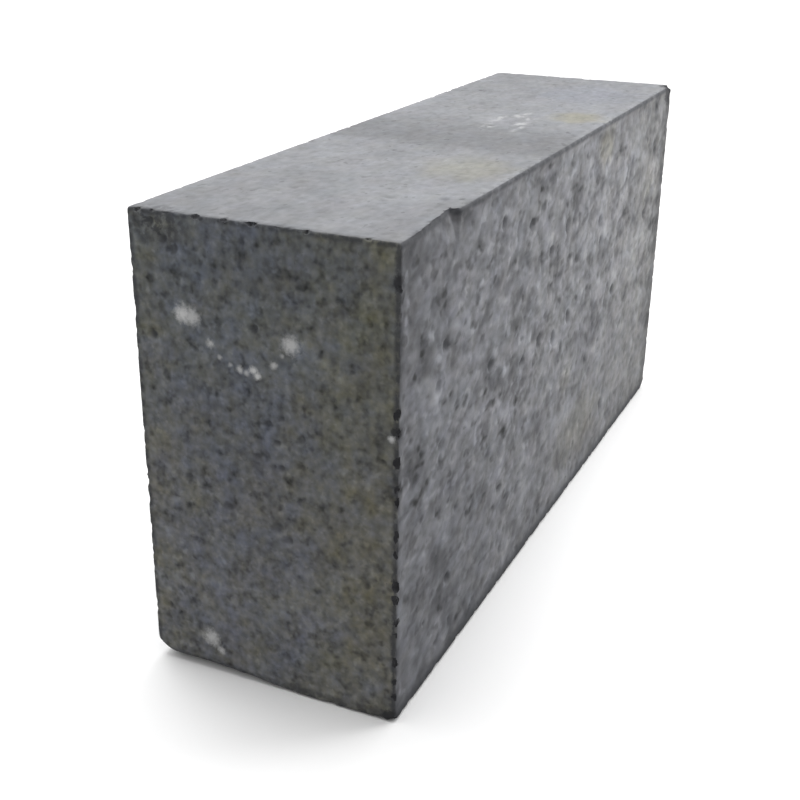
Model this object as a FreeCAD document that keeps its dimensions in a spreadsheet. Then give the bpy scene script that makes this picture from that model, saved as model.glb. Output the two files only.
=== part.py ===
# Straight refractory firebrick, pressed and fired as one piece, standing on its long edge.
# X runs along the length, Y through the thickness and Z up; the origin is under the middle of the brick.
import FreeCAD
import Part
import Sketcher
import math
import os

PARTS_FOLDER = "parts"

# Driving dimensions in millimetres: cell alias, value, what it sets.
SIZES = [
    ("brick_length", 230, "end to end"),
    ("brick_thickness", 65, "between the two pressed faces"),
    ("brick_height", 114, "from the floor to the upper edge face"),
    ("long_arris", 1.2, "rounding of the three sound long arrises"),
    ("worn_arris", 3.6, "rounding of the lower rear arris, worn by handling"),
    ("end_arris", 0.9, "rounding round both end faces"),
    ("chip_from_end", 29, "middle of the chip in the upper front arris, from the left end"),
    ("chip_curve", 11.5, "radius of that chip's hollow"),
    ("chip_depth", 2.0, "depth of that chip, square to the arris"),
    ("upper_right_curve", 9, "radius of the hollow left by the upper right corner"),
    ("upper_right_depth", 2.2, "depth of that hollow along the corner's diagonal"),
    ("lower_right_curve", 14, "radius of the hollow left by the lower right corner"),
    ("lower_right_depth", 2.0, "depth of that hollow along the corner's diagonal"),
    ("lower_left_curve", 7, "radius of the hollow left by the lower left corner"),
    ("lower_left_depth", 1.6, "depth of that hollow along the corner's diagonal"),
]

# Corners of the front face that have broken off: name, side of the length, level.
RIGHT, LEFT = "sizes.brick_length / 2", "-sizes.brick_length / 2"
TOP, BOTTOM = "sizes.brick_height", "0"
FRONT = "-sizes.brick_thickness / 2"
BROKEN_CORNERS = [
    ("upper_right", RIGHT, TOP),
    ("lower_right", RIGHT, BOTTOM),
    ("lower_left", LEFT, BOTTOM),
]

# Point numbers of a sketch: the two ends of a line or arc, and the sketch's own origin.
START, END = 1, 2
ORIGIN, ORIGIN_POINT = -1, 1


def make_sheet(doc):
    sheet = doc.addObject("Spreadsheet::Sheet", "sizes")
    for row, (alias, value, note) in enumerate(SIZES, start=1):
        sheet.set(f"A{row}", note)
        sheet.set(f"B{row}", str(value))
        sheet.setAlias(f"B{row}", alias)
    doc.recompute()
    return sheet


def origin_plane(body, role):
    return next(plane for plane in body.Origin.OriginFeatures if plane.Role == role)


def tie(feature, expressions):
    for name, expression in expressions.items():
        feature.setExpression(name, expression)


def draw_outline(sketch, sheet):
    """Four arris arcs in turn from the lower front one, then the bottom, rear, top and front lines between them."""
    half, height = sheet.brick_thickness / 2, sheet.brick_height
    sound, worn = sheet.long_arris, sheet.worn_arris
    arris_arcs = [
        (sound - half, sound, sound, 180),
        (half - worn, worn, worn, 270),
        (half - sound, height - sound, sound, 0),
        (sound - half, height - sound, sound, 90),
    ]
    upright = FreeCAD.Vector(0, 0, 1)
    arcs = []
    for across, up, radius, turn in arris_arcs:
        circle = Part.Circle(FreeCAD.Vector(across, up, 0), upright, radius)
        arc = Part.ArcOfCircle(circle, math.radians(turn), math.radians(turn + 90))
        arcs.append(sketch.addGeometry(arc, False))
    flats = []
    for before, after in zip(arcs, arcs[1:] + arcs[:1]):
        line = Part.LineSegment(sketch.Geometry[before].EndPoint, sketch.Geometry[after].StartPoint)
        flats.append(sketch.addGeometry(line, False))
    return arcs, flats


def add_section(body, sheet):
    """The brick's upright section: a rectangle whose four rounded corners are the long arrises."""
    sketch = body.newObject("Sketcher::SketchObject", "section")
    sketch.AttachmentSupport = (origin_plane(body, "YZ_Plane"), [""])
    sketch.MapMode = "FlatFace"
    arcs, flats = draw_outline(sketch, sheet)
    bottom, rear, top, front = flats
    lower_front, lower_rear, upper_rear, upper_front = arcs
    for before, flat, after in zip(arcs, flats, arcs[1:] + arcs[:1]):
        sketch.addConstraint(Sketcher.Constraint("Tangent", before, END, flat, START))
        sketch.addConstraint(Sketcher.Constraint("Tangent", flat, END, after, START))
    for flat in (bottom, top):
        sketch.addConstraint(Sketcher.Constraint("Horizontal", flat))
    for flat in (rear, front):
        sketch.addConstraint(Sketcher.Constraint("Vertical", flat))
    sketch.addConstraint(Sketcher.Constraint("PointOnObject", bottom, START, ORIGIN))
    half, height = sheet.brick_thickness / 2, sheet.brick_height
    sized = [
        ("front_out", ("DistanceX", front, START, ORIGIN, ORIGIN_POINT, half), "sizes.brick_thickness / 2"),
        ("rear_out", ("DistanceX", ORIGIN, ORIGIN_POINT, rear, START, half), "sizes.brick_thickness / 2"),
        ("height", ("DistanceY", ORIGIN, ORIGIN_POINT, top, START, height), "sizes.brick_height"),
        ("lower_front", ("Radius", lower_front, sheet.long_arris), "sizes.long_arris"),
        ("lower_rear", ("Radius", lower_rear, sheet.worn_arris), "sizes.worn_arris"),
        ("upper_rear", ("Radius", upper_rear, sheet.long_arris), "sizes.long_arris"),
        ("upper_front", ("Radius", upper_front, sheet.long_arris), "sizes.long_arris"),
    ]
    for name, constraint, expression in sized:
        sketch.renameConstraint(sketch.addConstraint(Sketcher.Constraint(*constraint)), name)
        tie(sketch, {f"Constraints.{name}": expression})
    return sketch


def add_blank(body, section):
    """The section pressed to the brick's length, half to each side of the origin."""
    blank = body.newObject("PartDesign::Pad", "pressed_blank")
    blank.Profile = section
    blank.SideType = "Symmetric"
    tie(blank, {"Length": "sizes.brick_length"})
    return blank


def end_faces(shape):
    """Names of the two flat faces that close the length."""
    return [
        f"Face{number}"
        for number, face in enumerate(shape.Faces, start=1)
        if isinstance(face.Surface, Part.Plane) and abs(face.normalAt(0, 0).x) > 0.5
    ]


def add_end_arrises(doc, body, blank):
    """Rounds the outline of both ends, within the rounding of the long arrises that it meets."""
    doc.recompute()
    arrises = body.newObject("PartDesign::Fillet", "end_arrises")
    arrises.Base = (blank, end_faces(blank.Shape))
    tie(arrises, {"Radius": "min(sizes.end_arris; 0.9 * min(sizes.long_arris; sizes.worn_arris))"})


def add_scoop(body, name, curve, place):
    """A shelled-off hollow: the part of a ball that reaches into the brick from outside."""
    scoop = body.newObject("PartDesign::SubtractiveSphere", name)
    tie(scoop, {"Radius": curve})
    tie(scoop, {f"Placement.Base.{axis}": expression for axis, expression in zip("xyz", place)})


def add_damage(body):
    """The chip in the upper front arris and the broken corners; each ball sits out along the edge's bisector."""
    out = "(sizes.chip_curve - sizes.chip_depth) / sqrt(2)"
    place = (f"{LEFT} + sizes.chip_from_end", f"{FRONT} - {out}", f"{TOP} + {out}")
    add_scoop(body, "upper_arris_chip", "sizes.chip_curve", place)
    for name, side, level in BROKEN_CORNERS:
        out = f"(sizes.{name}_curve - sizes.{name}_depth) / sqrt(3)"
        along = "+" if side == RIGHT else "-"
        upwards = "+" if level == TOP else "-"
        place = (f"{side} {along} {out}", f"{FRONT} - {out}", f"{level} {upwards} {out}")
        add_scoop(body, f"{name}_break", f"sizes.{name}_curve", place)


def check(doc, body):
    failed = [item.Name for item in doc.Objects if {"Invalid", "Error"} & set(item.State)]
    if failed:
        raise RuntimeError(f"these did not build: {failed}")
    if body.Shape.isNull() or not body.Shape.isValid() or len(body.Shape.Solids) != 1:
        raise RuntimeError(f"{body.Label} is not one valid solid")


def main():
    doc = FreeCAD.newDocument("firebrick")
    sheet = make_sheet(doc)
    body = doc.addObject("PartDesign::Body", "firebrick")
    body.Label = "firebrick"
    section = add_section(body, sheet)
    blank = add_blank(body, section)
    add_end_arrises(doc, body, blank)
    add_damage(body)
    doc.recompute()
    check(doc, body)
    os.makedirs(PARTS_FOLDER, exist_ok=True)
    body.Shape.exportStep(os.path.join(PARTS_FOLDER, f"{body.Label}.step"))
    box = body.Shape.optimalBoundingBox(False)
    print(f"{body.Label}: {box.XLength:.2f} x {box.YLength:.2f} x {box.ZLength:.2f} mm, "
          f"{body.Shape.Volume / 1000:.1f} cm3")


main()
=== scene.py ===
import math

import bpy
import numpy as np
from mathutils import Matrix, Vector


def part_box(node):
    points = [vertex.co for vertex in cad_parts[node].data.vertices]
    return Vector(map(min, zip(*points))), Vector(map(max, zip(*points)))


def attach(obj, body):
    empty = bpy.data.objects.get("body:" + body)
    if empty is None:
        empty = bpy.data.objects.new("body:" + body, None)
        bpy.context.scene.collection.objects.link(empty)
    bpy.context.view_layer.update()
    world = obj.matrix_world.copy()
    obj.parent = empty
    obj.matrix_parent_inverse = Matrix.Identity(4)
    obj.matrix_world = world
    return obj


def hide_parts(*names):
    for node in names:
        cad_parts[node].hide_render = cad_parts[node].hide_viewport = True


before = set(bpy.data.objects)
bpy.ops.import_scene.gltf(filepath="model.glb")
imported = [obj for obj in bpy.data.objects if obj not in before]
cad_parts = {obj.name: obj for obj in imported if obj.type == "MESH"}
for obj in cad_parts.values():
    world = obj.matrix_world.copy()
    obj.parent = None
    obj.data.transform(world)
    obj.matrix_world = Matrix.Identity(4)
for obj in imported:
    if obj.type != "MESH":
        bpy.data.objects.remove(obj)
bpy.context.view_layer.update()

mm = 0.001


# Noise on arrays of points, all in millimetres. The lattice is turned so that it lines up with no face.
latticeAngles = {"X": 0.71, "Y": 1.13, "Z": 0.37}    # radians
turnX, turnY, turnZ = (Matrix.Rotation(angle, 3, axis) for axis, angle in latticeAngles.items())
latticeTurn = np.array(turnX @ turnY @ turnZ)


def scatter(cells, salt):
    # one fixed number from 0 to 1 for each lattice cell, by large odd factors that mix the bits
    x, y, z = np.moveaxis(cells, -1, 0)
    mixed = x * 73856093 ^ y * 19349663 ^ z * 83492791 ^ salt * 2654435761
    mixed = (mixed ^ (mixed >> 15)) * 2246822519 & 0xffffffff
    mixed = (mixed ^ (mixed >> 13)) * 3266489917 & 0xffffffff
    return ((mixed ^ (mixed >> 16)) & 0xffffff) / 0xffffff


def softNoise(points, size, salt, octaves=1, fall=0.5):
    total, reach, share = 0.0, 0.0, 1.0
    for octave in range(octaves):
        grid = points @ latticeTurn.T / size * 2.03 ** octave    # each a little over twice as fine
        base = np.floor(grid).astype(np.int64)
        part = grid - base
        part = part * part * (3 - 2 * part)
        for corner in np.ndindex(2, 2, 2):
            nearness = np.prod(np.where(corner, part, 1 - part), axis=-1)
            total = total + share * nearness * scatter(base + np.array(corner), salt + 17 * octave)
        reach += share
        share *= fall
    return total / reach


def stir(points, size, amount, salt):
    # shifts each point a little, so that round cells come out ragged
    shift = [softNoise(points, size, salt + 100 * axis, 2) - 0.5 for axis in range(3)]
    return points + 2 * amount * np.stack(shift, axis=-1)


def nearestSeed(points, size, salt):
    # distance to the nearest scattered seed and that seed's own number
    grid = points @ latticeTurn.T / size
    base = np.floor(grid).astype(np.int64)
    nearest = np.full(len(points), 9.0)
    label = np.zeros(len(points))
    for step in np.ndindex(3, 3, 3):
        cell = base + np.array(step) - 1
        seat = cell + np.stack([scatter(cell, salt + axis) for axis in range(3)], axis=-1)
        gap = np.linalg.norm(seat - grid, axis=-1)
        label = np.where(gap < nearest, scatter(cell, salt + 3), label)
        nearest = np.minimum(nearest, gap)
    return nearest * size, label


def smoothStep(low, high, value):
    part = np.clip((value - low) / (high - low), 0, 1)
    return part * part * (3 - 2 * part)


# The brick: a fine grid over the stated box, rounded, knocked and pitted, then thinned where it is flat.
brick = {
    "node": "firebrick",
    "slot": "fired_body",
    "gridStep": 0.60,          # millimetres between sculpting points
    "arrisStep": 0.28,         # the same close to the arrises
    "arrisBand": 3.4,          # how far in from an arris the closer points go
    "triangles": 192000,       # left after thinning
    "longArris": 0.9,
    "wornArris": 4.8,          # lower rear arris
    "endArris": 0.6,
    "footWear": 3.4,           # added to it under the rear of the left end
    "footRun": (-12, 20),      # where that wear starts across the brick, and where it is full
    # known knocks: corner of the box, distance from it along the brick, way out, radius, depth, dust in it
    "scoops": [
        ((1, -1, 1), 0, (1, -1, 1), 7, 1.6, 0.7),
        ((1, -1, 1), -3, (0, -1, 1), 4.0, 1.7, 0.9),
        ((1, -1, -1), 0, (1, -1, -1), 14, 2.0, 0.35),
        ((1, 1, 1), 0, (1, 1, 1), 10, 1.8, 0.2),
        ((-1, -1, -1), 0, (-1, -1, -1), 8, 1.5, 0.8),
    ],
    "scoopRoughness": 0.9,
    # flat slice off the upper front arris: it deepens from the left end and stops in a step
    "slice": {"start": -113, "stop": -85, "step": 1.6, "depth": 2.5, "lean": 0.30, "ragged": 0.9},
    # notches up the left front arris and along the left top arris
    "notches": (104, 77, 73, 66.5, 60, 57, 49, 44.5, 36, 33, 27, 23.5, 16.5, 11, 7),
    "topNotches": (29.5, 26, 22.5, 15, 8, 1.6, -4, -12, -25),
    "notchRadius": (0.9, 2.2),
    "notchDepth": (0.6, 1.2),
    "notchRoughness": 1.6,
    "chipEvery": 10.0,         # millimetres of arris for each small chip
    "chipRadius": (0.8, 2.2),
    "chipDepth": (0.25, 0.60),
    "chipRoughness": 0.5,
    "chipDust": 0.3,
    "seed": 11,
}
boxLow, boxHigh = (np.array(corner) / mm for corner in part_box(brick["node"]))
faces = {"left": (0, boxLow[0]), "front": (1, boxLow[1]), "top": (2, boxHigh[2])}    # axis across, place


def onFace(face, first, second, across=None):
    # x, y and z from two numbers along a face and one across it, or else the place of the face itself
    axis, plane = faces[face]
    numbers = [first, second]
    numbers.insert(axis, plane if across is None else across)
    return numbers


def gridLines(low, high):
    # places of the grid lines along one axis, closer together for the last few millimetres
    band, step = brick["arrisBand"], brick["arrisStep"]
    edge = np.arange(0, band - step / 2, step)
    inner = np.linspace(low + band, high - band, round((high - low - 2 * band) / brick["gridStep"]))
    return np.concatenate([low + edge, inner, high - edge[::-1]])


def boxGrid(low, high):
    # closed box of quads: points of the skin, and the quads that join them
    lines = [gridLines(*ends) for ends in zip(low, high)]
    counts = np.array([len(places) - 1 for places in lines])
    quads = []
    for axis in range(3):
        across, up = (axis + 1) % 3, (axis + 2) % 3
        for level in (0, counts[axis]):
            a, b = np.meshgrid(np.arange(counts[across]), np.arange(counts[up]), indexing="ij")
            ring = [(0, 0), (1, 0), (1, 1), (0, 1)] if level else [(0, 0), (0, 1), (1, 1), (1, 0)]
            quad = np.zeros((a.size, 4, 3), np.int64)
            for spot, (da, db) in enumerate(ring):
                quad[:, spot, axis] = level
                quad[:, spot, across] = a.ravel() + da
                quad[:, spot, up] = b.ravel() + db
            quads.append(quad)
    cells = np.concatenate(quads).reshape(-1, 3)
    keys = (cells[:, 0] * (counts[1] + 1) + cells[:, 1]) * (counts[2] + 1) + cells[:, 2]
    _, first, index = np.unique(keys, return_index=True, return_inverse=True)
    points = np.stack([places[cells[first, axis]] for axis, places in enumerate(lines)], axis=1)
    return points, index.reshape(-1, 4)


def roundSection(points, middle, half):
    # rounds the long arrises; gives the upright section, its way out and each point's depth under the skin
    section = points[:, 1:] - middle[1:]
    worn = (section[:, 0] > 0) & (section[:, 1] < 0)
    radius = np.where(worn, brick["wornArris"], brick["longArris"])[:, None]
    core = np.clip(section, radius - half[1:], half[1:] - radius)
    away = section - core
    cornerWay = away / np.maximum(np.linalg.norm(away, axis=1, keepdims=True), 1e-9)
    over = np.abs(section) - (half[1:] - radius)
    furthest = over.max(1, keepdims=True)
    flatWay = np.where(over.argmax(1)[:, None] == [0, 1], np.sign(section), 0.0)
    inCorner = (over > 0).all(1, keepdims=True)
    wayOut = np.where(inCorner, cornerWay, flatWay)
    section = np.where(inCorner, core + cornerWay * furthest, section)    # draws the square corner round
    return section, wayOut, np.maximum(radius - furthest, 0)[:, 0]


def roundArrises(points, low, high):
    # the long arrises and then those of both ends; also gives each point's way out
    middle, half = (low + high) / 2, (high - low) / 2
    section, sectionWay, depth = roundSection(points, middle, half)
    inward = half[0] - np.abs(points[:, 0])
    under = np.maximum(-sectionWay[:, 1], 0) ** 0.7
    foot = smoothStep(*brick["footRun"], points[:, 1]) * under * (points[:, 0] < 0)
    endRadius = (brick["endArris"] + brick["footWear"] * foot)[:, None]
    pair = np.stack([inward, depth], axis=1)
    held = np.maximum(pair, endRadius)
    gap = held - pair
    length = np.linalg.norm(gap, axis=1, keepdims=True)
    turned = held - gap / np.maximum(length, 1e-9) * endRadius
    rounded = (gap > 1e-9).all(1)
    pair = np.where(rounded[:, None], turned, pair)
    moved = points.copy()
    moved[:, 0] = middle[0] + np.sign(points[:, 0] - middle[0]) * (half[0] - pair[:, 0])
    moved[:, 1:] = middle[1:] + section - sectionWay * (pair[:, 1] - depth)[:, None]
    tilt = np.where(rounded[:, None], gap / np.maximum(length, 1e-9), 0.0)
    onEnd = (inward < 1e-6) & ~rounded
    tilt[onEnd] = (1, 0)
    tilt[~onEnd & ~rounded] = (0, 1)
    outward = np.zeros_like(points)
    outward[:, 0] = np.sign(points[:, 0] - middle[0]) * tilt[:, 0]
    outward[:, 1:] = sectionWay * tilt[:, 1:]
    return moved, outward / np.maximum(np.linalg.norm(outward, axis=1, keepdims=True), 1e-9)


def arrisLines(low, high):
    # the twelve arrises: start, end, way out between the two faces
    for axis in range(3):
        across, up = (axis + 1) % 3, (axis + 2) % 3
        for sideA in (-1, 1):
            for sideB in (-1, 1):
                start, way = low.copy(), np.zeros(3)
                start[across] = high[across] if sideA > 0 else low[across]
                start[up] = high[up] if sideB > 0 else low[up]
                end = start.copy()
                end[axis] = high[axis]
                way[across], way[up] = sideA, sideB
                yield start, end, way / math.sqrt(2)


def between(ends, share):
    return ends[0] + (ends[1] - ends[0]) * share


def scoopOut(points, outward, broken, spot, way, radius, depth, roughness, dust):
    # pushes what lies inside a ball out to its skin, so that a shell-shaped hollow is left
    centre = spot + way * (radius - depth)
    near = np.flatnonzero((np.abs(points - centre) < radius + roughness).all(1))
    away = points[near] - centre
    length = np.linalg.norm(away, axis=1)
    skin = radius + roughness * (softNoise(points[near], min(1.8, 0.7 * radius), 71, 3) - 0.5)
    inside = length < skin
    chosen = near[inside]
    sunk = skin[inside] - length[inside]
    push = away[inside] / length[inside, None]
    points[chosen] += push * sunk[:, None]
    turn = smoothStep(0.05, 0.4, sunk)[:, None]
    outward[chosen] = outward[chosen] * (1 - turn) - push * turn
    broken[chosen] = np.maximum(broken[chosen], dust * smoothStep(0.02, 0.35, sunk))


def sliceArris(points, outward, low, high):
    # moves what lies outside the slice straight back onto it
    cut = brick["slice"]
    way = np.array((0, -1, cut["lean"])) / math.hypot(1, cut["lean"])
    reach = (cut["stop"] + 6, low[1] + 6)    # a little past the slice
    near = np.flatnonzero((points[:, :2] < reach).all(1) & (points[:, 2] > high[2] - 14))
    place = points[near]
    ragged = cut["ragged"] * (softNoise(place, 4.5, 77, 4, 0.6) - 0.5)
    run = (place[:, 0] - cut["start"]) / (cut["stop"] - cut["start"])
    depth = cut["depth"] * np.clip(run, 0, 1) + ragged
    depth *= smoothStep(cut["stop"] + cut["step"], cut["stop"], place[:, 0] + 2 * ragged)
    depth *= smoothStep(-0.05, 0.1, run)
    over = np.maximum((place - (0, low[1], high[2])) @ way - depth * way[1], 0)
    points[near] = place - way * over[:, None]
    turn = smoothStep(0.02, 0.3, over)[:, None]
    outward[near] = outward[near] * (1 - turn) + way * turn


def knockArrises(points, outward, low, high):
    broken = np.zeros(len(points))
    sliceArris(points, outward, low, high)
    for corner, shift, way, radius, depth, dust in brick["scoops"]:
        spot = np.where(np.array(corner) > 0, high, low) + (shift, 0, 0)
        way = np.array(way) / np.linalg.norm(way)
        scoopOut(points, outward, broken, spot, way, radius, depth, brick["scoopRoughness"], dust)
    draw = np.random.default_rng(brick["seed"])
    upright = [((low[0], low[1], height), (-1, -0.5, 0), 1.0, 1.0) for height in brick["notches"]]
    level = [((low[0], place, high[2]), (-1, 0, 0.35), 0.75, 0.6) for place in brick["topNotches"]]
    for spot, way, scale, dust in upright + level:
        way = np.array(way) / np.linalg.norm(way) + draw.normal(0, 0.12, 3)
        radius = draw.uniform(*brick["notchRadius"]) * scale
        depth = draw.uniform(*brick["notchDepth"]) * scale
        roughness = brick["notchRoughness"] * scale
        scoopOut(points, outward, broken, spot, way, radius, depth, roughness, dust)
    for start, end, way in arrisLines(low, high):
        length = np.linalg.norm(end - start)
        for _ in range(int(length / brick["chipEvery"])):
            spot = start + (end - start) * draw.random()
            radius = between(brick["chipRadius"], draw.random() ** 2)    # most are small
            depth = between(brick["chipDepth"], draw.random() ** 3)
            lean = way + draw.normal(0, 0.25, 3)
            lean /= np.linalg.norm(lean)
            roughness, dust = brick["chipRoughness"], brick["chipDust"]
            scoopOut(points, outward, broken, spot, lean, radius, depth, roughness, dust)
    outward /= np.maximum(np.linalg.norm(outward, axis=1, keepdims=True), 1e-9)
    return broken


relief = {
    "waves": 0.16,             # millimetres of slow unevenness on every face
    "lumps": 0.80,             # height of the soft lumps on the pressed faces
    "lumpSize": 6.4,
    "pores": [                 # large and small ones: spacing, radius, depth, which scatter
        (7.5, 2.3, 0.70, 21),
        (3.8, 1.2, 0.35, 31),
    ],
    "skin": 0.10,              # fine roughness
    "crumble": 0.22,           # loss just beside the arrises
    # the pits that stand out, by face: two coordinates along it, radius, depth
    "pits": {
        "front": [
            (-21, 63, 2.2, 1.0), (-9, 60, 2.1, 1.0), (5.5, 61.5, 2.4, 1.0), (-35, 61.5, 2.1, 1.0),
            (-59, 69, 2.0, 1.0), (0, 90, 2.4, 1.1), (-14, 86.5, 2.1, 1.0), (-32, 98, 2.2, 1.0),
            (36, 76.5, 2.4, 1.0), (34, 84, 2.2, 1.0), (64, 79, 2.4, 1.0), (91, 73, 2.6, 1.1),
            (55, 56, 2.2, 1.0), (-89, 84, 1.9, 1.0), (52, 16, 2.8, 1.1), (-49, 30, 2.0, 0.9),
            (-54, 104, 1.8, 0.9), (-84, 22, 1.8, 0.9),
        ],
        "left": [
            (20.6, 51.5, 1.6, 0.9), (19, 35.5, 1.2, 0.8), (-5.4, 41.7, 1.3, 0.8),
            (10.2, 46.5, 1.2, 0.8), (1.9, 90.9, 1.3, 0.9), (27, 111, 1.5, 0.9),
            (23.5, 108, 1.4, 0.9), (21, 106, 1.3, 0.8), (29, 107, 1.3, 0.8), (9.6, 96.1, 1.1, 0.7),
            (16.7, 84, 1.1, 0.7), (27.5, 85.7, 1.5, 0.8), (-0.8, 69.4, 1.2, 0.8),
            (-2.9, 65.2, 1.2, 0.8), (1.7, 60.7, 1.1, 0.7), (-4.2, 59.4, 1.2, 0.8),
            (-9.2, 60.2, 1.2, 0.8), (-28.8, 66.1, 1.2, 0.8),
        ],
        "top": [
            (-83, 9.5, 1.5, 0.3), (-81, -14, 1.8, 0.4), (-77, -25.5, 1.6, 0.4),
        ],
    },
}


def softDots(points, spacing, radius, salt):
    # round dots of all sizes up to a radius, strongest in the middle
    gap, label = nearestSeed(points, spacing, salt)
    reach = radius * np.clip((label - 0.2) / 0.8, 0.05, 1)
    return np.clip(1 - (gap / reach) ** 2, 0, 1) ** 1.5


def carveFaces(points, outward, low, high):
    end, pressed, wall = (outward ** 2).T
    fromArris = np.sort(np.minimum(points - low, high - points), axis=1)[:, 1]
    strength = (pressed + 0.20 * end + 0.12 * wall) * smoothStep(0.3, 4.5, fromArris)
    stirred = stir(points, 2.4, 0.9, 41)
    drawn = stirred * (0.75, 1, 1)
    lumps = softNoise(drawn, relief["lumpSize"], 25, 3, 0.9) - 0.5
    depth = relief["waves"] * softNoise(points, 46, 3, 2) + relief["skin"] * softNoise(points, 1.4, 9, 2)
    depth += relief["lumps"] * (0.4 - lumps) * strength
    # how dark the colour goes: painted shade and dark dust in the hollows between the lumps, in the pores
    # and in the crumbled arrises
    pit = 0.40 * np.clip((-lumps - 0.06) / 0.16, 0, 1) * (pressed + 0.25 * end + 0.10 * wall)
    amounts = 0.60 * pressed + 0.7 * end + 0.25 * wall
    for spacing, radius, deep, salt in relief["pores"]:
        bowl = softDots(stirred, spacing, radius, salt) * amounts
        depth += deep * bowl
        pit = np.maximum(pit, bowl)
    pits = [(face, *row) for face, rows in relief["pits"].items() for row in rows]
    for face, first, second, radius, deep in pits:
        place = onFace(face, first, second)
        bowl = np.clip(1 - (np.linalg.norm(stirred - place, axis=1) / radius) ** 2, 0, 1)
        depth += deep * bowl
        pit = np.maximum(pit, min(deep, 1) * bowl)
    crumble = smoothStep(0.54, 0.72, softNoise(stirred, 2.2, 13, 2)) * smoothStep(2.0, 0.2, fromArris)
    depth += relief["crumble"] * crumble
    pit = np.maximum(pit, 0.8 * crumble)
    return points - outward * depth[:, None], np.clip(pit, 0, 1), lumps, fromArris


def thinMesh(mesh, wanted):
    # lets the flat stretches go and keeps the knocks and pores
    loose = bpy.data.objects.new("thinning", mesh)
    bpy.context.scene.collection.objects.link(loose)
    modifier = loose.modifiers.new("thin", "DECIMATE")
    modifier.use_collapse_triangulate = True
    modifier.ratio = wanted / (2 * len(mesh.polygons))
    graph = bpy.context.evaluated_depsgraph_get()
    shown = loose.evaluated_get(graph)
    thinned = bpy.data.meshes.new_from_object(shown, preserve_all_data_layers=True, depsgraph=graph)
    bpy.data.objects.remove(loose)
    bpy.data.meshes.remove(mesh)
    return thinned


def unfold(mesh, low, high):
    # the six faces laid side by side on one square sheet
    size = high - low
    gap = 5.0
    length, thick, tall = size
    seats = {
        (1, 0): ((gap, gap), 0, 2), (1, 1): ((gap, 2 * gap + tall), 0, 2),
        (2, 0): ((2 * gap + length, gap), 1, 0), (2, 1): ((3 * gap + length + thick, gap), 1, 0),
        (0, 0): ((gap, 3 * gap + 2 * tall), 2, 1), (0, 1): ((2 * gap + tall, 3 * gap + 2 * tall), 2, 1),
    }
    sheet = 4 * gap + length + 2 * thick
    spots = np.zeros(len(mesh.vertices) * 3)
    mesh.vertices.foreach_get("co", spots)
    spots = spots.reshape(-1, 3) / mm
    corners = np.zeros(len(mesh.loops), np.int64)
    mesh.loops.foreach_get("vertex_index", corners)
    faces = corners.reshape(-1, 3)
    middles = spots[faces].mean(1)
    nearness = np.concatenate([middles - low, high - middles], axis=1)
    side = nearness.argmin(1)
    flat = np.zeros((len(faces), 3, 2))
    for (axis, upper), (seat, across, up) in seats.items():
        mine = side == axis + 3 * upper
        flat[mine] = (spots[faces[mine]] - low)[..., [across, up]] + seat
    layer = mesh.uv_layers.new(name="OFBake")
    layer.data.foreach_set("uv", (flat / sheet).ravel().astype(np.float32))


def makeBrick():
    low, high = boxLow, boxHigh
    grid, quads = boxGrid(low, high)
    points, outward = roundArrises(grid, low, high)
    broken = knockArrises(points, outward, low, high)
    points, pit, knob, fromArris = carveFaces(points, outward, low, high)
    points = np.clip(points, low, high)
    mesh = bpy.data.meshes.new("firebrick_fired")
    mesh.from_pydata((points * mm).tolist(), [], quads.tolist())
    for name, values in (("pit", pit), ("knob", knob), ("broken", broken), ("arris", fromArris)):
        mesh.attributes.new(name, "FLOAT", "POINT").data.foreach_set("value", values.astype(np.float32))
    facing = mesh.attributes.new("facing", "FLOAT_VECTOR", "POINT")
    facing.data.foreach_set("vector", (outward ** 2).astype(np.float32).ravel())
    print("sculpted", len(points), "points")
    mesh = thinMesh(mesh, brick["triangles"])
    mesh.name = "firebrick_fired"
    unfold(mesh, low, high)
    mesh.shade_smooth()
    piece = bpy.data.objects.new("firebrick_fired", mesh)
    bpy.context.scene.collection.objects.link(piece)
    print("brick", len(mesh.polygons), "triangles")
    return piece


class Wire:
    # a node socket that can be used in sums
    def __init__(self, tree, socket=None):
        self.tree, self.socket = tree, socket

    def add(self, kind, settings=None, inputs=None, output=0):
        made = self.tree.nodes.new("ShaderNode" + kind)
        for name, value in (settings or {}).items():
            setattr(made, name, value)
        for name, value in (inputs or {}).items():
            if isinstance(value, Wire):
                self.tree.links.new(value.socket, made.inputs[name])
            else:
                made.inputs[name].default_value = value
        return Wire(self.tree, made.outputs[output] if made.outputs else None)

    def beside(self, *names):
        # other outputs of the same node
        return [Wire(self.tree, self.socket.node.outputs[name]) for name in names]

    def maths(self, operation, *values):
        return self.add("Math", {"operation": operation}, dict(enumerate(values)))

    def __add__(self, other):
        return self.maths("ADD", self, other)

    def __sub__(self, other):
        return self.maths("SUBTRACT", self, other)

    def __rsub__(self, other):
        return self.maths("SUBTRACT", other, self)

    def __mul__(self, other):
        return self.maths("MULTIPLY", self, other)

    __radd__, __rmul__ = __add__, __mul__

    def atMost(self, other):
        return self.maths("MINIMUM", self, other)

    def atLeast(self, other):
        return self.maths("MAXIMUM", self, other)

    def ramp(self, low, high):
        settings = {"interpolation_type": "SMOOTHSTEP"}
        return self.add("MapRange", settings, {"Value": self, "From Min": low, "From Max": high})

    def vector(self, operation, first, second, output=0):
        return self.add("VectorMath", {"operation": operation}, {0: first, 1: second}, output)

    def blend(self, first, second, how="MIX"):
        # self is the share of the second colour; the numbers are the colour sockets
        return self.add("Mix", {"data_type": "RGBA", "blend_type": how}, {0: self, 6: first, 7: second}, 2)


def solidColour(red, green, blue):
    return (red, green, blue, 1.0)


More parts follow.
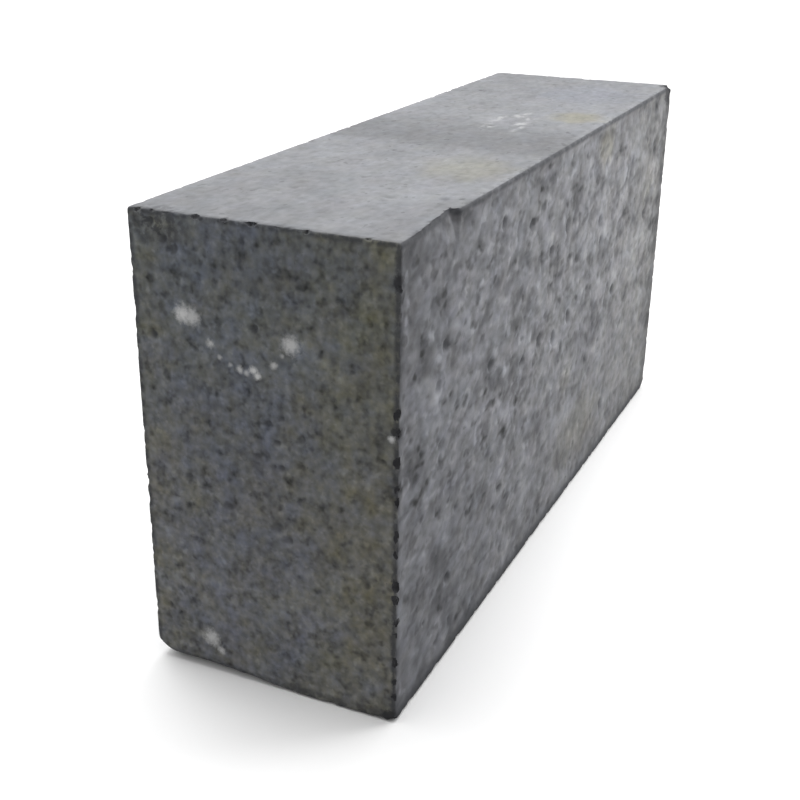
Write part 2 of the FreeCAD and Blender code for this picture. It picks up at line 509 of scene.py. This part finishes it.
finish = {
    "matrix": (0.201, 0.206, 0.218),
    # dark dust and painted shade in the pits, the hollows and the lines beside the arrises
    "hollow": solidColour(0.052, 0.054, 0.061),
    # black of the soot in the knocks, also used for the painted contact shadow along the foot
    "sootAndShadow": solidColour(0.016, 0.016, 0.019),
    "chalk": solidColour(0.92, 0.92, 0.92),
    "olive": (0.10, 0.0, -0.38),   # what an iron stain adds to red, green and blue
    "roughness": 0.80,
    "spotDepth": 4,                # how far flecks and scuffs reach through the face
    "patchDepth": 6,               # the same for patches and crumbs
    # worn-through spots on the left end: across, up, radius, strength
    "flecks": [
        (19.6, 91.5, 2.3, 1.0), (17.3, 91.2, 2.3, 0.75), (-7.1, 88.5, 2.3, 0.8), (12.9, 85.7, 1.1, 0.7),
        (5.6, 80.9, 1.0, 0.7), (3.9, 80.4, 0.8, 0.6), (2.1, 81.2, 1.1, 1.0), (1.3, 80.2, 1.1, 1.0),
        (-2.9, 83.3, 1.0, 0.7), (16.7, 9.2, 2.4, 0.8), (14.0, 6.3, 1.2, 0.7), (-30.7, 71.6, 0.9, 0.8),
        (10.6, 82.9, 0.7, 0.5), (8.0, 81.6, 0.6, 0.45), (-5.0, 85.8, 0.6, 0.45),
    ],
    # sooty spots on the arrises: place, half widths
    "knocks": [
        ((-115, -31, 1), (4, 2.6, 2.4)),
        ((-115, -31.8, 105.8), (3, 1.1, 1.8)),
        ((-115, -31.6, 73), (3, 1.2, 1.6)),
        ((112, -32, 112), (6, 3.6, 5)),
    ],
    "crumbs": (25, 112, 10, 7),    # upper rear corner of the left end: across, up, half widths
    # rubbed pale streaks on the top: along, across, half widths
    "scuffs": [
        (12, -3, 8, 2.2), (21, -10, 9, 2.0), (24, -1, 7, 1.8), (33, -6, 6, 2.4), (10, -12, 6, 1.6),
    ],
    # soft patches, by face: two coordinates along it, two half widths, change of tone, share of stain
    "patches": {
        "front": [
            (27, 49, 14, 8, -0.2, -0.05),
            (-24, 38, 11, 4, -0.2, -0.05),
            (7.5, 41, 7, 6, 0.26, 0.15),
            (23, 19, 26, 12, -0.03, 0.22),
            (40, 8, 18, 9, -0.14, 0.05),
            (35, 107, 10, 7, 0.05, 0.35),
            (67, 92, 9, 8, 0.03, -0.08),
            (93, 84, 9, 7, 0.1, 0.12),
        ],
        "top": [
            (30, -6, 14, 14, 0.08, 0.0),
            (36, -22, 12, 9, 0.0, 0.55),
            (-46, -19, 17, 13, 0.0, 0.34),
            (80, -12, 24, 20, 0.0, -0.14),
            (66, 5, 6, 4, -0.14, 0.0),
            (110, 24, 16, 16, -0.09, 0.0),
        ],
        "left": [
            (-8, 107, 26, 9, -0.13, -0.05),
            (-28, 78, 9, 28, -0.08, 0.0),
            (26, 40, 12, 45, 0.07, 0.0),
            (0, 24, 30, 9, 0.08, 0.0),
            (20.4, 98.8, 2.4, 1.8, 0.35, 0.0),
            (20.5, 104.5, 1.8, 2.4, 0.25, 0.0),
        ],
    },
}


def firedClay():
    material = bpy.data.materials.new("fired_clay")
    material.use_nodes = True
    tree = material.node_tree
    tree.nodes.clear()
    bench = Wire(tree)
    onBrick = bench.add("TexCoord", output="Object")
    spot = bench.vector("MULTIPLY", onBrick, (1 / mm, 1 / mm, 1 / mm))
    along, across, up = bench.add("SeparateXYZ", {}, {0: spot}).beside("X", "Y", "Z")
    facing = bench.add("Attribute", {"attribute_name": "facing"}, output="Vector")
    end, pressed, wall = bench.add("SeparateXYZ", {}, {0: facing}).beside("X", "Y", "Z")
    pit, knob, broken, arris = (bench.add("Attribute", {"attribute_name": name}, output=2)
                                for name in ("pit", "knob", "broken", "arris"))

    drawn = bench.vector("MULTIPLY", spot, (0.7, 1, 1))    # pressing drew the pattern out along the brick

    def noise(size, detail=3.0, roughness=0.55, shift=(0, 0, 0)):
        source = bench.vector("ADD", drawn, shift)
        inputs = {"Vector": source, "Scale": 1 / size, "Detail": detail, "Roughness": roughness}
        return bench.add("TexNoise", {}, inputs)

    def nearSpot(place, widths):
        # 0 in the middle of a spot, 1 at its edge
        off = bench.vector("DIVIDE", bench.vector("SUBTRACT", spot, place), widths)
        return bench.vector("LENGTH", off, (0, 0, 0), "Value")

    def nearFaceSpot(face, first, second, firstWidth, secondWidth, depth):
        return nearSpot(onFace(face, first, second), onFace(face, firstWidth, secondWidth, depth))

    broad, middling, small = noise(34), noise(9), noise(3.6)
    fine, pepper = noise(1.9, 1.5, 0.5), noise(2.4, 1.5, 0.5, (31, 57, 83)).ramp(0.50, 0.74)
    salt = noise(1.7, 1.5, 0.5, (90, 12, 40)).ramp(0.56, 0.76)
    grit = noise(3.0, 1.5, 0.5, (44, 8, 19))
    dips = noise(3.6, 1.5, 0.5, (3, 66, 21)).ramp(0.44, 0.26)
    lumps = noise(3.4, 1.5, 0.5, (70, 21, 9)).ramp(0.56, 0.74)
    specks = noise(2.4, 1.0, 0.5, (12, 40, 77)).ramp(0.31, 0.26)
    tint, blush = noise(5.5, 3, 0.65, (17, 71, 5)), noise(9, 3, 0.6, (61, 3, 29))
    wobble = noise(5, 4, 0.6) - 0.5
    fray = noise(0.9, 4, 0.7) - 0.5

    # salt and pepper of the grains: strong on the ends, coarse on the pressed faces, weak on the edge faces
    grains = 1.55 * (fine - 0.5) + 0.34 * salt - 0.46 * pepper
    tone = 1.02 + (end + 0.30 * wall) * grains - 0.05 * pressed - 0.28 * wall * specks
    onward = along.ramp(-70, 40)
    lively = pressed * (1 + 0.5 * up.ramp(25, 60) - 0.2 * onward)
    tone = tone + lively * (1.1 * knob + (0.6 - 0.3 * onward) * (grit - 0.5))
    tone = tone + lively * (1 - 0.5 * along.ramp(-60, 60)) * (0.38 * lumps - 0.42 * dips)
    tone = tone + 0.50 * (broad - 0.5) + (0.6 - 0.1 * wall + 0.5 * lively) * (middling - 0.5)
    tone = tone + (0.9 - 0.4 * wall + 0.6 * lively) * (small - 0.5)

    # the band across the top; painted shade on the pressed faces towards their right and left ends and
    # upper part, and in strips beside their arrises; a painted highlight and painted shade on the top
    # beside its arrises; slow changes across the top and the left end
    band = (along + 22 * (middling - 0.5)).ramp(-28, -18) * (along + 22 * wobble).ramp(24, -2)
    tone = tone * (1 - wall * (0.27 * band + 0.06 * along.ramp(-88, -104)))
    # painted shade: the pressed faces darker towards the right end, the upper part and the left end
    paintedFaceShade = 0.30 * along.ramp(105, 112) + 0.09 * up.ramp(88, 110) + 0.11 * along.ramp(-50, -110)
    # painted shade in strips beside the top, bottom and left arrises of the pressed faces
    paintedArrisShade = 0.16 * up.ramp(107, 113) + 0.34 * up.ramp(6.5, 2.0) + 0.20 * along.ramp(-111.5, -114.5)
    tone = tone * (1 - pressed * paintedFaceShade) * (1 - pressed * paintedArrisShade)
    # painted highlight on the top beside its arrises, and painted shade on the top beside the left end
    tone = tone * (1 + wall * (0.10 * arris.ramp(3.2, 1.4) - 0.25 * along.ramp(-112.4, -114.4)))
    tone = tone * (1 - 0.04 * wall * across.ramp(-18, -27) + 0.07 * end * across.ramp(25, 29))

    # olive iron stain, then the soft patches
    side = across + 16 * (middling - 0.5)
    stain = end * (0.41 * side.ramp(0, -26) + 0.26 * side.ramp(18, 32) + 1.7 * (tint - 0.5))
    stain = stain + pressed * (0.11 * along.ramp(20, 110) - 0.06 * along.ramp(0, -90))
    stain = stain + (0.35 + 0.15 * pressed) * (tint - 0.5)
    patches = [(face, *row) for face, rows in finish["patches"].items() for row in rows]
    for *where, change, share in patches:
        mask = (nearFaceSpot(*where, finish["patchDepth"]) + 0.9 * wobble).ramp(1.15, 0.35)
        tone = tone * (1 + change * mask)
        stain = stain + share * mask
    stain = stain.atMost(1.0)
    red, green, blue = (tone * (1 + stain * shift) for shift in finish["olive"])
    red = red * (1 + 0.08 * (blush - 0.5) + 0.012 * pressed - end * (0.002 + 0.036 * up.ramp(40, 100)))
    mixed = bench.add("CombineXYZ", {}, {0: red, 1: green, 2: blue})
    colour = bench.vector("MULTIPLY", finish["matrix"], mixed)

    # pores and crumbled arrises hold dark dust; the pits also get painted shade, the lines along the
    # arrises are partly dark crumbs and partly painted shade, and the foot of the end gets a painted
    # contact shadow
    patchy = noise(2.0, 3).ramp(0.38, 0.58)
    # dark crumbs and painted shade along the arrises of the end
    endArrisCrumbsAndShade = end.ramp(0.1, 0.6) * arris.ramp(2.0, 0.7) * (0.3 + 0.7 * patchy)
    # painted contact shadow along the foot of the end
    footShadow = end.ramp(0.1, 0.5) * up.ramp(3.2, 1.9) * (0.3 + 0.35 * patchy)
    # a jagged dark line on the end beside its front arris: dark crumbs and painted shade
    jagged = 2.6 * (noise(3.4, 4, 0.7, (5, 5, 5)) - 0.5)
    darkest = up.ramp(52, 40).atLeast(0.8 * up.ramp(92, 99))
    frontArrisCrumbsAndShade = end * (across + jagged).ramp(-30.9, -31.7) * (0.42 + 0.48 * darkest)
    # painted shade along the top and bottom arrises of the pressed faces
    arrisShadeLine = up.ramp(111.8, 113.0).atLeast(up.ramp(3.8, 1.8))
    arrisShadeLine = arrisShadeLine * pressed.ramp(0.1, 0.5) * (0.7 + 0.3 * patchy)
    crumbs = nearFaceSpot("left", *finish["crumbs"], finish["patchDepth"]).ramp(1.15, 0.3)
    crumbs = crumbs * noise(1.6, 3).ramp(0.44, 0.60)
    # the pits get painted shade as well as dark dust
    dustAndShade = footShadow.atLeast(0.84 * pit)
    for share, mask in ((0.85, endArrisCrumbsAndShade), (0.95, frontArrisCrumbsAndShade), (0.92, arrisShadeLine), (0.75, crumbs)):
        dustAndShade = dustAndShade.atLeast(share * mask)
    colour = dustAndShade.blend(colour, finish["hollow"])

    # soot in the knocks, and a painted contact shadow in the same black along the foot of the pressed faces
    sootAndFootShadow = (0.96 * (broken + 2.0 * fray).ramp(0.15, 0.85)).atLeast(0.7 * pressed * up.ramp(2.4, 0.8))
    for place, widths in finish["knocks"]:
        sootAndFootShadow = (0.85 * (nearSpot(place, widths) + 1.2 * fray).ramp(1.2, 0.6)).atLeast(sootAndFootShadow)
    colour = sootAndFootShadow.blend(colour, finish["sootAndShadow"])

    # pale flecks and scuffs
    pale = 0.0
    for first, second, radius, strength in finish["flecks"]:
        fleck = nearFaceSpot("left", first, second, radius, radius, finish["spotDepth"])
        fleck = (fleck + 1.6 * fray).ramp(1.35, 0.1)
        pale = (strength * fleck).atLeast(pale)
    rubbed = noise(3.0, 3, 0.6, (7, 7, 7)).ramp(0.40, 0.68)
    for where in finish["scuffs"]:
        scuff = (nearFaceSpot("top", *where, finish["spotDepth"]) + 1.2 * wobble).ramp(1.2, 0.4)
        pale = (0.26 * scuff * rubbed).atLeast(pale)
    colour = pale.blend(colour, finish["chalk"])

    # fine roughness that is too small for the mesh
    roughness = finish["roughness"] - 0.10 * wall + 0.12 * (small - 0.5)
    bumpHeight = (1 - 0.75 * pressed) * (noise(0.6, 4.0, 0.65) + 0.5 * salt - 0.5 * pepper)
    bumpHeight = bumpHeight + 0.8 * pressed * (lumps - dips)
    normal = bench.add("Bump", {}, {"Strength": 0.35, "Distance": 0.12 * mm, "Height": bumpHeight})
    shader = bench.add("BsdfPrincipled", {}, {
        "Base Color": colour, "Normal": normal, "Roughness": roughness, "Specular IOR Level": 0.35})
    bench.add("OutputMaterial", {}, {"Surface": shader})
    return material


studio = {
    "skyFill": 0.51,           # light from all round, against white at 1
    "skyWay": (0.20, 0.10, 0.97),
    "skyStrength": 0.74,
    "backWay": (0.35, 0.80, 0.50),
    "backStrength": 0.30,
    "sunSpread": 50,           # degrees
    "boxPlace": (0.08, -0.20, 0.165),
    "boxAim": (0.05, -0.03, 0.07),
    "boxSize": 0.14,
    "boxPower": 0.338,         # watts
    "floorSize": 8.0,
    "floorDrop": 0.1,          # millimetres under the brick
    "floorSeen": 0.95,
    "floorBounce": 0.16,
}


def seenDirectly(bench):
    rays = bench.add("LightPath").beside("Is Camera Ray", "Is Glossy Ray", "Is Transmission Ray")
    return rays[0].atLeast(rays[1]).atLeast(rays[2])


def addLamp(name, kind, way, place=(0, 0, 0), **settings):
    data = bpy.data.lights.new(name, kind)
    for setting, value in settings.items():
        setattr(data, setting, value)
    lamp = bpy.data.objects.new(name, data)
    lamp.location = place
    lamp.rotation_mode = "QUATERNION"
    lamp.rotation_quaternion = Vector(way).to_track_quat("Z", "Y")
    lamp.visible_camera = False
    bpy.context.scene.collection.objects.link(lamp)


def makeStudio():
    world = bpy.data.worlds.new("studio")
    bpy.context.scene.world = world
    world.use_nodes = True
    world.node_tree.nodes.clear()
    bench = Wire(world.node_tree)
    seen = seenDirectly(bench)
    strength = seen + studio["skyFill"] * (1 - seen)
    sky = bench.add("Background", {}, {"Color": (1, 1, 1, 1), "Strength": strength})
    bench.add("OutputWorld", {}, {"Surface": sky})
    spread = math.radians(studio["sunSpread"])
    addLamp("ceiling", "SUN", studio["skyWay"], energy=studio["skyStrength"] * math.pi, angle=spread)
    addLamp("back", "SUN", studio["backWay"], energy=studio["backStrength"] * math.pi, angle=spread)
    boxWay = Vector(studio["boxPlace"]) - Vector(studio["boxAim"])
    power, width = studio["boxPower"], studio["boxSize"]
    addLamp("softbox", "AREA", boxWay, studio["boxPlace"], energy=power, size=width)


def makeFloor():
    half = studio["floorSize"] / 2
    mesh = bpy.data.meshes.new("floor")
    corners = [(-half, -half, 0), (half, -half, 0), (half, half, 0), (-half, half, 0)]
    mesh.from_pydata(corners, [], [(0, 1, 2, 3)])
    floor = bpy.data.objects.new("floor", mesh)
    floor.location.z = -studio["floorDrop"] * mm
    material = bpy.data.materials.new("pale_floor")
    material.use_nodes = True
    material.node_tree.nodes.clear()
    bench = Wire(material.node_tree)
    bright, dim = studio["floorSeen"], studio["floorBounce"]
    tone = seenDirectly(bench).blend(solidColour(dim, dim, dim), solidColour(bright, bright, bright))
    shader = bench.add("BsdfDiffuse", {}, {"Color": tone})
    bench.add("OutputMaterial", {}, {"Surface": shader})
    mesh.materials.append(material)
    bpy.context.scene.collection.objects.link(floor)


camera = {
    "place": (-325.93, -127.25, 178.55),   # millimetres
    "azimuth": -65.824,
    "elevation": 22.890,
    "roll": 0.781,
    "lens": 55.246,
    "sensor": 36.0,
}


def makeCamera():
    turn, rise, roll = (math.radians(camera[name]) for name in ("azimuth", "elevation", "roll"))
    back = Vector((math.sin(turn) * math.cos(rise), -math.cos(turn) * math.cos(rise), math.sin(rise)))
    right = (-back).cross(Vector((0, 0, 1))).normalized()
    up = right.cross(-back)
    level = Matrix((right, up, back)).transposed()
    data = bpy.data.cameras.new("camera")
    data.lens = camera["lens"]
    data.sensor_width = camera["sensor"]
    data.clip_start = 0.01
    view = bpy.data.objects.new("camera", data)
    place = Matrix.Translation(Vector(camera["place"]) * mm)
    view.matrix_world = place @ (level @ Matrix.Rotation(roll, 3, "Z")).to_4x4()
    bpy.context.scene.collection.objects.link(view)
    bpy.context.scene.camera = view


piece = makeBrick()
piece.data.materials.clear()
piece.data.materials.append(firedClay())
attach(piece, "root")
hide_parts(brick["node"])
makeStudio()
makeFloor()
makeCamera()
bpy.context.scene.view_settings.view_transform = "Standard"
print("scene ready")
